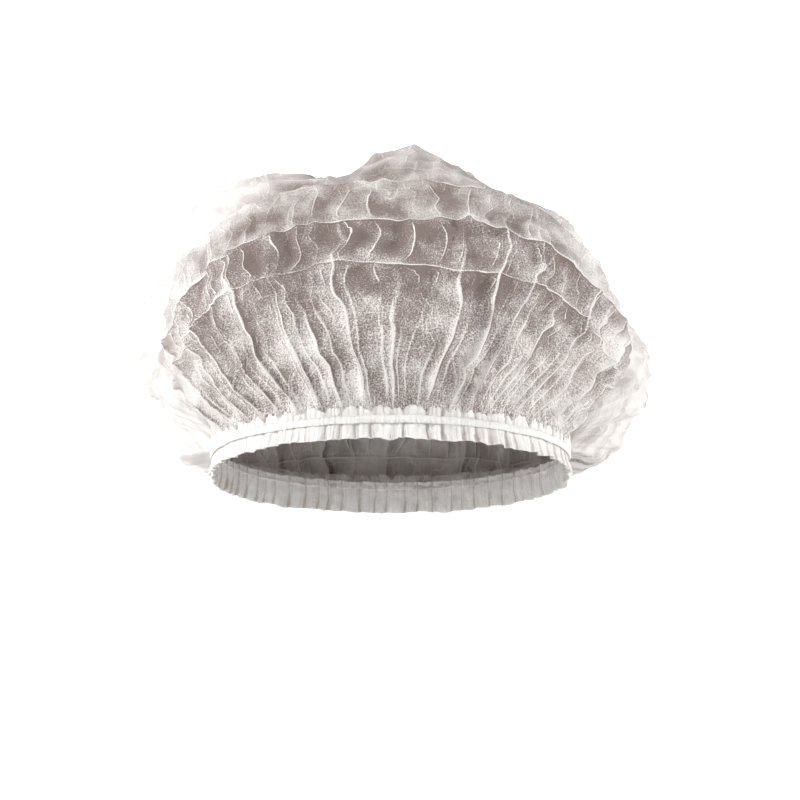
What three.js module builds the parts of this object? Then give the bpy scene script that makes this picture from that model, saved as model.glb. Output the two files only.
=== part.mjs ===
// A disposable hair cover cap, in the shape that it takes on a head. It is one rectangle of thin
// nonwoven cloth, pleated from ear to ear and puffed out into a crown. The two long edges are gathered
// into a front hem and a back hem, each drawn in by a flat elastic, and the two short edges are pleated
// up into a welded tab behind each temple. Millimetres, +Z up, and the wearer faces -Y.
// The origin is the middle of the elastic ring that grips the head.

import * as THREE from 'three';

// The ring that grips the head, measured in its own plane, to the middle of the hem's wall
const ringHalfWidth = 84;
const ringHalfLength = 97;
const ringTiltDegrees = 12; // it drops from the forehead to the nape

// The hem: a doubled band of cloth, frilled above and below the elastic
const hemWall = 1.6;
const frillAbove = 6;
const frillBelow = 9;
const frillFlare = 1.5; // how far the lower edge stands out beyond the elastic line
const frillDepthTop = 1.5; // half the height of the gathers, at the edge that meets the crown
const frillDepthWaist = 0.3;
const frillDepthBottom = 1.9;
const hemRows = 4;

// The elastic: a flat strip on the outside of the hem
const elasticWidth = 3.2;
const elasticThickness = 1;
const elasticColumns = 32;

// The crown
const crownHalfWidth = 131;
const crownReach = 133; // from the ear-to-ear line, at the top of the hem, to the top of the crown
const crownWall = 1.4;
const crownColumns = 64; // two to a gather
const crownRows = 30; // two to a pleat
const tuckFromDegrees = 64; // where the crown starts to draw in to the tab at each ear

// Folds in the crown
const gatherLength = 17; // over which the small gathers above the hem die out
const foldLength = 62; // over which the wide folds that they run into die out
const foldDepth = 2.4;
const pleatDepth = 1.9;
const crumpleDepth = 1.3;
const sealFade = 0.2; // share of the cloth at each ear over which pleats and crumples die out

// The welded tab at each ear
const sealRadius = 8; // of the half round of pleats that the tab draws together
const sealDrop = 8; // below the elastic line
const sealThickness = 3;
const sealRidgeDepth = 0.5;
const sealRidges = 7;

const gap = 0.3; // between pieces that touch on the real cap

// The cloth's lines from ear to ear, from the front hem (along 0) to the back hem (along 1), as shares
// of the cloth's length. turn: degrees round the ear-to-ear line. reach, width: how far the line has
// swelled from the ring's size to the crown's. square: exponent of the arch that it makes.
// fan: exponent that leans the gathers outwards.
const sections = [
  { along: 0, turn: 0, reach: 0, width: 0, square: 2, fan: 1 },
  { along: 0.026, turn: 5, reach: 0.24, width: 0.1, square: 2.1, fan: 0.92 },
  { along: 0.069, turn: 14, reach: 0.57, width: 0.26, square: 2.3, fan: 0.8 },
  { along: 0.122, turn: 25, reach: 0.82, width: 0.42, square: 2.5, fan: 0.74 },
  { along: 0.195, turn: 40, reach: 0.97, width: 0.52, square: 2.7, fan: 0.74 },
  { along: 0.273, turn: 55, reach: 1.03, width: 0.54, square: 2.9, fan: 0.78 },
  { along: 0.353, turn: 70, reach: 1, width: 0.54, square: 3.2, fan: 0.84 },
  { along: 0.436, turn: 85, reach: 0.97, width: 0.58, square: 3.3, fan: 0.88 },
  { along: 0.519, turn: 100, reach: 0.95, width: 0.74, square: 3.3, fan: 0.88 },
  { along: 0.601, turn: 115, reach: 0.97, width: 0.94, square: 3.3, fan: 0.87 },
  { along: 0.681, turn: 130, reach: 1, width: 1, square: 3.1, fan: 0.85 },
  { along: 0.76, turn: 145, reach: 1, width: 0.94, square: 2.8, fan: 0.83 },
  { along: 0.827, turn: 158, reach: 0.94, width: 0.8, square: 2.6, fan: 0.82 },
  { along: 0.887, turn: 170.5, reach: 0.85, width: 0.66, square: 2.4, fan: 0.82 },
  { along: 0.922, turn: 178.2, reach: 0.75, width: 0.56, square: 2.3, fan: 0.85 },
  { along: 0.946, turn: 179.4, reach: 0.58, width: 0.44, square: 2.2, fan: 0.9 },
  { along: 0.968, turn: 177.8, reach: 0.35, width: 0.28, square: 2.1, fan: 0.94 },
  { along: 0.985, turn: 178.2, reach: 0.15, width: 0.12, square: 2.05, fan: 0.97 },
  { along: 1, turn: 180, reach: 0, width: 0, square: 2, fan: 1 },
];

// Soft lobes (push above 0) and dents (below 0). across, along: the middle, as shares of the cloth.
// wide, deep: how far each spreads, as shares too. push: as a share of the crown's reach.
const lobes = [
  { name: 'left shoulder', across: 0.29, along: 0.46, wide: 0.07, deep: 0.11, push: 0.085 },
  { name: 'left notch', across: 0.44, along: 0.46, wide: 0.026, deep: 0.1, push: -0.065 },
  { name: 'top puff', across: 0.52, along: 0.45, wide: 0.05, deep: 0.1, push: 0.105 },
  { name: 'right slope', across: 0.64, along: 0.47, wide: 0.06, deep: 0.14, push: -0.075 },
  { name: 'right corner', across: 0.77, along: 0.5, wide: 0.08, deep: 0.12, push: -0.095 },
  { name: 'left corner', across: 0.2, along: 0.47, wide: 0.05, deep: 0.05, push: -0.02 },
  { name: 'left bag', across: 0.17, along: 0.6, wide: 0.06, deep: 0.05, push: 0.05 },
  { name: 'front hollow', across: 0.5, along: 0.31, wide: 0.32, deep: 0.03, push: -0.045 },
  { name: 'front brow', across: 0.5, along: 0.26, wide: 0.3, deep: 0.025, push: 0.015 },
  { name: 'right cheek', across: 0.8, along: 0.2, wide: 0.08, deep: 0.07, push: 0.05 },
  { name: 'left back dent', across: 0.17, along: 0.78, wide: 0.08, deep: 0.12, push: -0.11 },
  { name: 'right back sag', across: 0.78, along: 0.87, wide: 0.1, deep: 0.05, push: 0.05 },
  { name: 'back dent', across: 0.45, along: 0.75, wide: 0.08, deep: 0.06, push: -0.04 },
];

// Folds that stand out from the gathers. column: counted from the left ear. depth: as a share of
// foldDepth. length: as a share of foldLength.
const mainFolds = {
  front: [
    { column: 6, depth: 1.5, length: 1.3 },
    { column: 12, depth: 1.7, length: 1.6 },
    { column: 18, depth: 1.5, length: 1.2 },
    { column: 26, depth: 0.9, length: 0.8 },
    { column: 34, depth: 1, length: 0.9 },
    { column: 42, depth: 1.2, length: 1 },
    { column: 48, depth: 1.6, length: 1.5 },
    { column: 54, depth: 1.8, length: 1.6 },
    { column: 58, depth: 1.4, length: 1.2 },
  ],
  back: [
    { column: 8, depth: 1.4, length: 1.3 },
    { column: 20, depth: 1.2, length: 1.1 },
    { column: 32, depth: 1.3, length: 1.2 },
    { column: 44, depth: 1.1, length: 1 },
    { column: 56, depth: 1.5, length: 1.3 },
  ],
};

const whiteCloth = new THREE.MeshStandardMaterial({ color: 0xe4e0dd, roughness: 0.85, metalness: 0 });
const whiteHem = new THREE.MeshStandardMaterial({ color: 0xf3efe9, roughness: 0.8, metalness: 0 });
const whiteElastic = new THREE.MeshStandardMaterial({ color: 0xfbf9f4, roughness: 0.6, metalness: 0 });
const whiteWeld = new THREE.MeshStandardMaterial({ color: 0xf0ebe4, roughness: 0.5, metalness: 0 });

const { degToRad, lerp, smoothstep } = THREE.MathUtils;
const quarterTurn = Math.PI / 2;
const up = new THREE.Vector3(0, 0, 1);

// A box with its vertices moved one by one: place(across, along, through, point) is given shares of
// the box from 0 to 1, and sets the point.
function bentBox(columns, rows, place) {
  const box = new THREE.BoxGeometry(1, 1, 1, columns, rows, 1);
  const corners = box.getAttribute('position');
  const point = new THREE.Vector3();
  for (let i = 0; i < corners.count; i++) {
    const across = Math.round((corners.getX(i) + 0.5) * columns) / columns;
    const along = Math.round((corners.getY(i) + 0.5) * rows) / rows;
    const through = Math.round(corners.getZ(i) + 0.5);
    place(across, along, through, point);
    corners.setXYZ(i, point.x, point.y, point.z);
  }
  box.computeVertexNormals();
  return box;
}

// One smooth curve through a table's column, over its along values
function curveThrough(rows, column) {
  const curve = new THREE.CubicInterpolant(
    rows.map((row) => row.along),
    rows.map((row) => row[column]),
    1,
  );
  return (along) => curve.evaluate(along)[0];
}

const turnAt = curveThrough(sections, 'turn');
const reachAt = curveThrough(sections, 'reach');
const widthAt = curveThrough(sections, 'width');
const squareAt = curveThrough(sections, 'square');
const fanAt = curveThrough(sections, 'fan');

// The same number between -1 and 1 each time for the same pair
function scatter(column, row) {
  const value = Math.sin(column * 12.9898 + row * 78.233) * 43758.5453;
  return 2 * (value - Math.floor(value)) - 1;
}

// Angle round the ring, from -90 degrees at the left ear to 90 at the right
function ringAngle(across) {
  return (2 * across - 1) * quarterTurn;
}

// A point on the front half of the ring, moved out of the ring's plane line by out, at height z
function ringPoint(across, out, z, point) {
  const angle = ringAngle(across);
  const halfLength = ringHalfLength - sealRadius;
  const outward = new THREE.Vector2(halfLength * Math.sin(angle), -ringHalfWidth * Math.cos(angle));
  outward.setLength(out);
  return point.set(
    ringHalfWidth * Math.sin(angle) + outward.x,
    -sealRadius - halfLength * Math.cos(angle) + outward.y,
    z,
  );
}

// The gathers: every second column stands out, each by its own amount
function gatherShare(across, edge) {
  const column = Math.round(across * crownColumns);
  const side = column % 2 ? 1 : -1;
  return side * (0.75 + 0.25 * scatter(column, edge === 'front' ? 1 : 2));
}

// How far the wide folds stand out, at a distance from the hem
function foldHeight(across, distance, edge) {
  const column = Math.round(across * crownColumns);
  const wide = column % 4 === 2 ? 0.6 + 0.4 * scatter(column, edge === 'front' ? 3 : 4) : -0.3;
  let height = foldDepth * wide * Math.exp(-((distance / foldLength) ** 2));
  for (const fold of mainFolds[edge]) {
    if (Math.abs(fold.column - column) > 1) continue;
    const crest = fold.column === column ? 1 : 0.25;
    height += foldDepth * fold.depth * crest * Math.exp(-((distance / (foldLength * fold.length)) ** 2));
  }
  return height * smoothstep(distance, 0, gatherLength);
}

const clothLength = crownReach * Math.PI; // near enough to set how fast the gathers die out

// Where the crown's smooth form lies, before any gather or fold
function crownForm(across, along, point) {
  const leaned = Math.sign(across - 0.5) * Math.abs(2 * across - 1) ** fanAt(along);
  const angle = leaned * quarterTurn;
  const square = squareAt(along);
  const arch = (Math.abs(Math.cos(angle)) ** square + Math.abs(Math.sin(angle)) ** square) ** (-1 / square);
  const reach = lerp(ringHalfLength, crownReach, reachAt(along));
  const width = lerp(ringHalfWidth, crownHalfWidth, widthAt(along));
  const tuck = smoothstep(Math.abs(angle), degToRad(tuckFromDegrees), quarterTurn) ** 2;
  const radius = sealRadius + (reach - sealRadius) * Math.cos(angle) * arch;
  const sideways = lerp(width, ringHalfWidth, tuck) * Math.sin(angle) * arch;
  const turn = degToRad(turnAt(along));
  const hemDistance = Math.min(along, 1 - along) * clothLength;
  const lift = crownWall * smoothstep(hemDistance, 0, gatherLength / 2); // keeps the wall off the hem
  return point.set(
    sideways,
    -radius * Math.cos(turn),
    frillAbove + gap + lift + radius * Math.sin(turn),
  );
}

// The outward direction of the smooth form, level at the hems, so that the crown's edge sits flat on them
function crownOutward(across, along, outward) {
  const step = 1e-3;
  const left = Math.max(across - step, 0);
  const right = Math.min(across + step, 1);
  const front = Math.max(along - step, 0);
  const back = Math.min(along + step, 1);
  const sidewards = crownForm(right, along, new THREE.Vector3());
  sidewards.sub(crownForm(left, along, new THREE.Vector3()));
  const backwards = crownForm(across, back, new THREE.Vector3());
  backwards.sub(crownForm(across, front, new THREE.Vector3()));
  outward.crossVectors(sidewards, backwards);
  const hemDistance = Math.min(along, 1 - along) * clothLength;
  outward.normalize();
  outward.z *= smoothstep(hemDistance, 0, gatherLength);
  return outward.normalize();
}

// How far the cloth stands out of the smooth form: lobes, gathers, folds, pleats and crumples
function crownRelief(across, along) {
  const edge = along < 0.5 ? 'front' : 'back';
  const hemDistance = Math.min(along, 1 - along) * clothLength;
  const sealDistance = Math.min(across, 1 - across);
  const gathered = frillDepthTop * gatherShare(across, edge) * Math.exp(-((hemDistance / gatherLength) ** 2));
  const calm = smoothstep(sealDistance, 0, sealFade) * smoothstep(hemDistance, gatherLength, foldLength);
  const column = Math.round(across * crownColumns);
  const row = Math.round(along * crownRows);
  const pleat = (row % 2 ? pleatDepth : -pleatDepth) * calm;
  const crumple = crumpleDepth * scatter(column, row + 5) * calm;
  let lobed = 0;
  for (const lobe of lobes) {
    const aside = (across - lobe.across) / lobe.wide;
    const beyond = (along - lobe.along) / lobe.deep;
    lobed += lobe.push * crownReach * Math.exp(-(aside ** 2) - beyond ** 2);
  }
  const unfolded = smoothstep(sealDistance, 0, sealFade / 2);
  return gathered + lobed * smoothstep(hemDistance, 0, foldLength)
    + foldHeight(across, hemDistance, edge) * unfolded + pleat + crumple;
}

function makeCrown() {
  const outward = new THREE.Vector3();
  const geometry = bentBox(crownColumns, crownRows, (across, along, through, point) => {
    crownForm(across, along, point);
    crownOutward(across, along, outward);
    point.addScaledVector(outward, crownRelief(across, along) + (through - 0.5) * crownWall);
  });
  return new THREE.Mesh(geometry, whiteCloth);
}

// Half the height of the hem's frill, at a height above the elastic line
function frillDepth(z) {
  if (z > 0) return lerp(frillDepthWaist, frillDepthTop, z / frillAbove);
  return lerp(frillDepthWaist, frillDepthBottom, -z / frillBelow);
}

// Turns a point of the front half of the ring round to the back half
function turnToBack(point) {
  return point.applyAxisAngle(up, Math.PI);
}

function makeHem(edge) {
  const geometry = bentBox(crownColumns, hemRows, (across, along, through, point) => {
    const z = lerp(-frillBelow, frillAbove, along);
    const flare = frillFlare * Math.max(-z / frillBelow, 0);
    const column = edge === 'front' ? across : 1 - across;
    const out = flare + frillDepth(z) * gatherShare(column, edge) + (through - 0.5) * hemWall;
    ringPoint(across, out, z, point);
    if (edge === 'back') turnToBack(point);
  });
  return new THREE.Mesh(geometry, whiteHem);
}

function makeElastic(edge) {
  const inside = hemWall / 2 + frillDepth(elasticWidth / 2) + gap;
  const geometry = bentBox(elasticColumns, 1, (across, along, through, point) => {
    ringPoint(across, inside + through * elasticThickness, (along - 0.5) * elasticWidth, point);
    if (edge === 'back') turnToBack(point);
  });
  return new THREE.Mesh(geometry, whiteElastic);
}

// The tab: the ends of the pleats, stacked on each other and welded, with the round top of the half
// round that the crown leaves for it
function makeSeal(side) {
  const halfWidth = sealRadius - crownWall / 2 - gap;
  const top = frillAbove + halfWidth;
  const rows = 2 * sealRidges;
  const geometry = bentBox(4, rows, (across, along, through, point) => {
    const z = lerp(-sealDrop, top, along);
    const rounded = Math.sqrt(Math.max(halfWidth ** 2 - Math.max(z - frillAbove, 0) ** 2, 0));
    const ridge = Math.round(along * rows) % 2 ? sealRidgeDepth : 0;
    const thickness = sealThickness / 2 + ridge;
    point.set(
      side * ringHalfWidth + lerp(-thickness, thickness, through),
      lerp(-1, 1, across) * Math.max(rounded, sealThickness / 2),
      z,
    );
  });
  return new THREE.Mesh(geometry, whiteWeld);
}

const cap = new THREE.Group();
cap.name = 'cap';
cap.rotation.x = -degToRad(ringTiltDegrees);

const pieces = {
  crown: makeCrown(),
  hem_front: makeHem('front'),
  hem_back: makeHem('back'),
  elastic_front: makeElastic('front'),
  elastic_back: makeElastic('back'),
  seal_left: makeSeal(-1),
  seal_right: makeSeal(1),
};
for (const [name, mesh] of Object.entries(pieces)) {
  mesh.name = name;
  cap.add(mesh);
}

// The cap leans inside a level group, so that +Z stays upright
const hairCover = new THREE.Group();
hairCover.name = 'hair_cover';
hairCover.add(cap);

export default hairCover;
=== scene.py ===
"""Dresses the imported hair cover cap: a gathered nonwoven crown, frilled hems, elastics and welded tabs."""

import logging
import math
from collections.abc import Callable
from dataclasses import dataclass
from enum import Enum
from functools import reduce

import bmesh
import bpy
import numpy as np
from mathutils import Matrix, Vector


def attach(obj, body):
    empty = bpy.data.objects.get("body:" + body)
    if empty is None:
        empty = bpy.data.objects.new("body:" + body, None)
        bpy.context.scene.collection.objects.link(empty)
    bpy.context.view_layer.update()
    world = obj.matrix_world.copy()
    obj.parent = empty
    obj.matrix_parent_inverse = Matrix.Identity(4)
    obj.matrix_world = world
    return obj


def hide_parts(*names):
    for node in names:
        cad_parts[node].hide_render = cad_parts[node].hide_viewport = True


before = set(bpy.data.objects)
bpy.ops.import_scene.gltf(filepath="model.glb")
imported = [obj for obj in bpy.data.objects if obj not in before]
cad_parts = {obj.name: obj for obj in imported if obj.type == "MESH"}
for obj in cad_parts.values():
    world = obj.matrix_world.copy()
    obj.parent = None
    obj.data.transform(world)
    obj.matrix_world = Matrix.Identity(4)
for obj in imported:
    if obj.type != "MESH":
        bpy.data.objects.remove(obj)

log = logging.getLogger("hair_cover")
MM = 0.001
CLOTH_UV = "cloth"
CREASE = "crease"
TONE = "tone"
GATHER = "gather"
VEIL = "veil"
WORN = "worn"
PLACE = " place"
POWER = " power"

# Shares lie from 0 to 1: across from the left ear to the right, along from the front hem to the back
Shares = np.ndarray
Points = np.ndarray
Drawn = dict[str, Shares]
Placed = tuple[Points, Drawn]
Socket = bpy.types.NodeSocket
Sockets = tuple[Socket, ...]
Colour = tuple[float, float, float, float]


class Edge(Enum):
    """The two gathered edges of the cloth."""

    FRONT = "front"
    BACK = "back"


class Side(Enum):
    """The two ears that the cloth runs between, by the sign of X."""

    LEFT = -1
    RIGHT = 1


# The cloth's lines from ear to ear: along, turn, reach, width, square, fan, as in the part's source
SECTIONS = np.array([
    (0, 0, 0, 0, 2, 1),
    (0.026, 5, 0.24, 0.1, 2.1, 0.92),
    (0.069, 14, 0.57, 0.26, 2.3, 0.8),
    (0.122, 25, 0.82, 0.42, 2.5, 0.74),
    (0.195, 40, 0.97, 0.52, 2.7, 0.74),
    (0.273, 55, 1.03, 0.54, 2.9, 0.78),
    (0.353, 70, 1, 0.54, 3.2, 0.84),
    (0.436, 85, 0.97, 0.58, 3.3, 0.88),
    (0.519, 100, 0.95, 0.74, 3.3, 0.88),
    (0.601, 115, 0.97, 0.94, 3.3, 0.87),
    (0.681, 130, 1, 1, 3.1, 0.85),
    (0.76, 145, 1, 0.94, 2.8, 0.83),
    (0.827, 158, 0.94, 0.8, 2.6, 0.82),
    (0.887, 170.5, 0.85, 0.66, 2.4, 0.82),
    (0.922, 178.2, 0.75, 0.56, 2.3, 0.85),
    (0.946, 179.4, 0.58, 0.44, 2.2, 0.9),
    (0.968, 177.8, 0.35, 0.28, 2.1, 0.94),
    (0.985, 178.2, 0.15, 0.12, 2.05, 0.97),
    (1, 180, 0, 0, 2, 1),
])

# Soft lobes and dents: across, along, wide, deep, push, as in the part's source
LOBES = (
    (0.29, 0.46, 0.07, 0.11, 0.085),
    (0.44, 0.46, 0.026, 0.1, -0.065),
    (0.52, 0.45, 0.05, 0.1, 0.105),
    (0.64, 0.47, 0.06, 0.14, -0.075),
    (0.77, 0.5, 0.08, 0.12, -0.095),
    (0.2, 0.47, 0.05, 0.05, -0.02),
    (0.17, 0.6, 0.06, 0.05, 0.05),
    (0.5, 0.31, 0.32, 0.03, -0.045),
    (0.5, 0.26, 0.3, 0.025, 0.015),
    (0.8, 0.2, 0.08, 0.07, 0.05),
    (0.17, 0.78, 0.08, 0.12, -0.11),
    (0.78, 0.87, 0.1, 0.05, 0.05),
    (0.45, 0.75, 0.08, 0.06, -0.04),
)

# The long folds above each hem: across, height in mm, length in mm, drift across at the far end
LONG_FOLDS = {
    Edge.FRONT: (
        (0.13, 2.6, 52, -0.01), (0.18, 3.6, 74, -0.012), (0.225, 2.4, 50, 0.008), (0.262, 3.9, 92, -0.02),
        (0.30, 3.0, 84, 0.006), (0.338, 3.4, 70, -0.012), (0.385, 2.2, 46, 0.004), (0.42, 1.6, 40, 0),
        (0.462, 2.6, 66, -0.006), (0.505, 1.8, 42, 0.004), (0.56, 2.5, 56, 0.004), (0.6, 3.3, 86, 0.012),
        (0.632, 3.6, 82, 0.022), (0.676, 2.2, 48, 0.01), (0.727, 4.0, 88, 0.016), (0.772, 2.8, 60, -0.008),
        (0.815, 3.8, 78, 0.012), (0.868, 3.2, 62, 0.006), (0.92, 2.4, 46, 0),
    ),
    Edge.BACK: (
        (0.12, 2.8, 60, 0), (0.2, 3.4, 76, 0.01), (0.29, 2.6, 60, -0.008), (0.36, 3.2, 70, 0.01),
        (0.43, 2.4, 54, 0), (0.5, 3.4, 74, -0.006), (0.57, 2.4, 58, 0.006), (0.64, 3.0, 66, 0),
        (0.71, 2.4, 56, -0.006), (0.79, 3.4, 74, 0.008), (0.87, 3.0, 60, 0),
    ),
}

# The creases left by the flat pack, from ear to ear: along, strength
CREASES = (
    (0.138, 0.8), (0.191, 1.3), (0.262, 0.6), (0.345, 0.6), (0.405, 0.8), (0.465, 0.7), (0.527, 0.9),
    (0.59, 0.75), (0.652, 0.9), (0.714, 0.75), (0.776, 0.9), (0.838, 0.6), (0.9, 0.5),
)


def smooth(value: Shares, low: float, high: float) -> Shares:
    """A smooth step from 0 at low to 1 at high."""
    step = np.clip((value - low) / (high - low), 0, 1)
    return step * step * (3 - 2 * step)


def curve_at(along: Shares, column: int) -> Shares:
    """One smooth curve through a column of SECTIONS.

    Args:
        along: Shares of the cloth's length.
        column: Which column of the table.

    Returns:
        The column's value at each share.
    """
    knots, values = SECTIONS[:, 0], SECTIONS[:, column]
    slopes = np.gradient(values, knots)
    slopes[1:-1] = (values[2:] - values[:-2]) / (knots[2:] - knots[:-2])
    i = np.clip(np.searchsorted(knots, along, side="right") - 1, 0, len(knots) - 2)
    span = knots[i + 1] - knots[i]
    t = (along - knots[i]) / span
    return (
        values[i] * (1 + 2 * t) * (1 - t) ** 2
        + slopes[i] * span * t * (1 - t) ** 2
        + values[i + 1] * t * t * (3 - 2 * t)
        + slopes[i + 1] * span * t * t * (t - 1)
    )


def blend(table: Points, i: Shares, j: Shares, s: Shares, t: Shares) -> Shares:
    """Values at s and t beyond a table's entries i and j, mixed from the four entries round them."""
    near, far = (table[i, j + n] * (1 - s) + table[i + 1, j + n] * s for n in (0, 1))
    return near * (1 - t) + far * t


def drifting(across: Shares, along: Shares, cells: tuple[int, int], seed: int, kinked: bool = False) -> Shares:
    """Random values from -1 to 1 over the cloth.

    Args:
        across: Shares across.
        along: Shares along.
        cells: How many random values lie each way.
        seed: Which set of random values.
        kinked: Whether they run straight from one to the next, and not smoothly.

    Returns:
        One value for each point.
    """
    table = np.random.default_rng(seed).uniform(-1, 1, (cells[0] + 2, cells[1] + 2))
    x, y = np.clip(across, 0, 1) * cells[0], np.clip(along, 0, 1) * cells[1]
    i, j = np.floor(x).astype(int), np.floor(y).astype(int)
    s, t = (x - i, y - j) if kinked else (smooth(x - i, 0, 1), smooth(y - j, 0, 1))
    return blend(table, i, j, s, t)


def between(value: Shares, marks: Points) -> Shares:
    """Where values lie among marks: whole numbers on the marks, and steady in between.

    Args:
        value: One value for each point.
        marks: Rising marks in a row for each point, or one row for all.

    Returns:
        Places from half before the first mark to half beyond the last.
    """
    marks = np.broadcast_to(marks, (len(value), marks.shape[-1]))
    last = marks.shape[1] - 1
    i = np.clip((value[:, None] >= marks).sum(1) - 1, 0, last - 1)
    rows = np.arange(len(value))
    low, high = marks[rows, i], marks[rows, i + 1]
    return np.clip(i + (value - low) / np.maximum(high - low, 1e-6), -0.5, last + 0.5)


def at_nearest(place: Shares, powers: Points) -> Shares:
    """The power of the mark nearest to each place, from a row of powers for each point or one for all."""
    powers = np.broadcast_to(powers, (len(place), powers.shape[-1]))
    return powers[np.arange(len(place)), np.clip(np.round(place), 0, powers.shape[1] - 1).astype(int)]


def unit(directions: Points) -> tuple[Points, Shares]:
    """Directions made 1 long, and how long each was."""
    lengths = np.linalg.norm(directions, axis=1)
    return directions / np.maximum(lengths, 1e-9)[:, None], lengths


def crest(distance: Shares, width: float, softness: float = 0.5) -> Shares:
    """A fold's height across it: a narrow crest with hollow flanks.

    Args:
        distance: Millimetres from the crest.
        width: Millimetres over which the flanks fall.
        softness: Millimetres over which the crest is rounded.

    Returns:
        Heights from 0 to about 1.
    """
    return np.exp(-(np.sqrt(distance**2 + softness**2) - softness) / width)


def fold(distance: Shares, width: float, hollow: float = 0.4) -> Shares:
    """A crest with a hollow to each side of it."""
    return crest(distance, width) - hollow * np.exp(-((distance / (3 * width)) ** 2))


def cloth_mesh(
    name: str, segments: tuple[int, int], place: Callable[[Shares, Shares], Placed]
) -> bpy.types.Object:
    """Makes a sheet from a grid, with its place in its mesh.

    Args:
        name: The piece's name.
        segments: Faces across and along.
        place: Gives points in metres and values to keep on them, from shares across and along.

    Returns:
        The new object, smooth shaded and linked to the scene.
    """
    bm = bmesh.new()
    bm.loops.layers.uv.new(CLOTH_UV)
    made = bmesh.ops.create_grid(bm, x_segments=segments[0], y_segments=segments[1], size=0.5, calc_uvs=True)
    points, values = place(*np.array([(v.co.x + 0.5, v.co.y + 0.5) for v in made["verts"]]).T)
    kinds = bm.verts.layers
    layers = [
        ((kinds.float if value.ndim == 1 else kinds.float_vector).new(key), value.tolist())
        for key, value in values.items()
    ]
    for i, vert in enumerate(bm.verts):
        vert.co = points[i]
        for layer, value in layers:
            vert[layer] = value[i]
    for face in bm.faces:
        face.smooth = True
    mesh = bpy.data.meshes.new(name)
    bm.to_mesh(mesh)
    bm.free()
    piece = bpy.data.objects.new(name, mesh)
    bpy.context.scene.collection.objects.link(piece)
    return piece


@dataclass
class CapForm:
    """The cap's smooth form on a head, in millimetres, before any fold."""

    ring_half_width: float = 84
    ring_half_length: float = 97
    ring_tilt: float = math.radians(12)
    frill_above: float = 6
    frill_below: float = 9
    crown_half_width: float = 131
    crown_reach: float = 133
    tuck_from: float = math.radians(64)
    seal_radius: float = 8
    lift: float = 1.7
    gather_length: float = 17
    fan_rounding: float = 0.08

    @property
    def length(self) -> float:
        """The length that shares of along stand for, in millimetres. The form's longest line is 446."""
        return self.crown_reach * math.pi

    def from_hem(self, along: Shares) -> Shares:
        """Millimetres from the nearer hem."""
        return np.minimum(along, 1 - along) * self.length

    def crown(self, across: Shares, along: Shares) -> Points:
        """Where the crown's smooth form lies.

        Args:
            across: Shares across.
            along: Shares along.

        Returns:
            Points in millimetres, before the cap leans.
        """
        _, turn, reach, width, square, fan = (curve_at(along, i) if i else None for i in range(6))
        middle = 2 * across - 1
        near = self.fan_rounding**2
        angle = middle * ((middle**2 + near) / (1 + near)) ** ((fan - 1) / 2) * math.pi / 2
        cos, sin = np.maximum(np.cos(angle), 0), np.sin(angle)
        arch = (cos**square + np.abs(sin) ** square) ** (-1 / square)
        reach = self.ring_half_length + (self.crown_reach - self.ring_half_length) * reach
        width = self.ring_half_width + (self.crown_half_width - self.ring_half_width) * width
        tuck = smooth(np.abs(angle), self.tuck_from, math.pi / 2) ** 2
        radius = self.seal_radius + (reach - self.seal_radius) * cos * arch
        sideways = (width + (self.ring_half_width - width) * tuck) * sin * arch
        lift = self.frill_above + self.lift * smooth(self.from_hem(along), 0, self.gather_length / 2)
        turn = np.radians(turn)
        return np.stack([sideways, -radius * np.cos(turn), lift + radius * np.sin(turn)], -1)

    def worn(self, across: Shares, along: Shares, cells: tuple[int, int] = (120, 90)) -> Points:
        """Places on the crown as it is worn, where its gathers have drawn it in.

        Args:
            across: Shares across.
            along: Shares along.
            cells: How finely the lengths are measured.

        Returns:
            Metres from the middle line and metres from the front hem, with a third value of 0.
        """
        i, j = np.meshgrid(np.arange(cells[0] + 1), np.arange(cells[1] + 1), indexing="ij")
        form = self.crown(i.ravel() / cells[0], j.ravel() / cells[1]).reshape(*i.shape, 3)
        wide, long = np.zeros(i.shape), np.zeros(i.shape)
        wide[1:] = np.cumsum(np.linalg.norm(np.diff(form, axis=0), axis=2), 0)
        long[:, 1:] = np.cumsum(np.linalg.norm(np.diff(form, axis=1), axis=2), 1)
        wide -= wide[cells[0] // 2]
        x, y = across * cells[0], along * cells[1]
        i, j = np.minimum(x.astype(int), cells[0] - 1), np.minimum(y.astype(int), cells[1] - 1)
        s, t = x - i, y - j
        found = [blend(table, i, j, s, t) for table in (wide, long)]
        return np.stack([*found, 0 * across], -1) * MM

    def ring(self, across: Shares, out: Shares, height: Shares, edge: Edge) -> Points:
        """Points round half of the ring.

        Args:
            across: Shares of the half ring, from the left ear at the front.
            out: Millimetres outwards.
            height: Millimetres above the elastic.
            edge: Which half.

        Returns:
            Points in millimetres, before the cap leans.
        """
        angle = (2 * across - 1) * math.pi / 2
        half = self.ring_half_length - self.seal_radius
        outward = np.stack([half * np.sin(angle), -self.ring_half_width * np.cos(angle)], -1)
        outward /= np.linalg.norm(outward, axis=-1, keepdims=True)
        x = self.ring_half_width * np.sin(angle) + outward[:, 0] * out
        y = -self.seal_radius - half * np.cos(angle) + outward[:, 1] * out
        turned = 1 if edge is Edge.FRONT else -1
        return np.stack([turned * x, turned * y, height + 0 * x], -1)

    def lean(self, points: Points) -> Points:
        """Leans the cap back and gives its points in metres."""
        cos, sin = math.cos(self.ring_tilt), math.sin(self.ring_tilt)
        x, y, z = points.T
        return np.stack([x, y * cos + z * sin, z * cos - y * sin], -1) * MM


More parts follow.
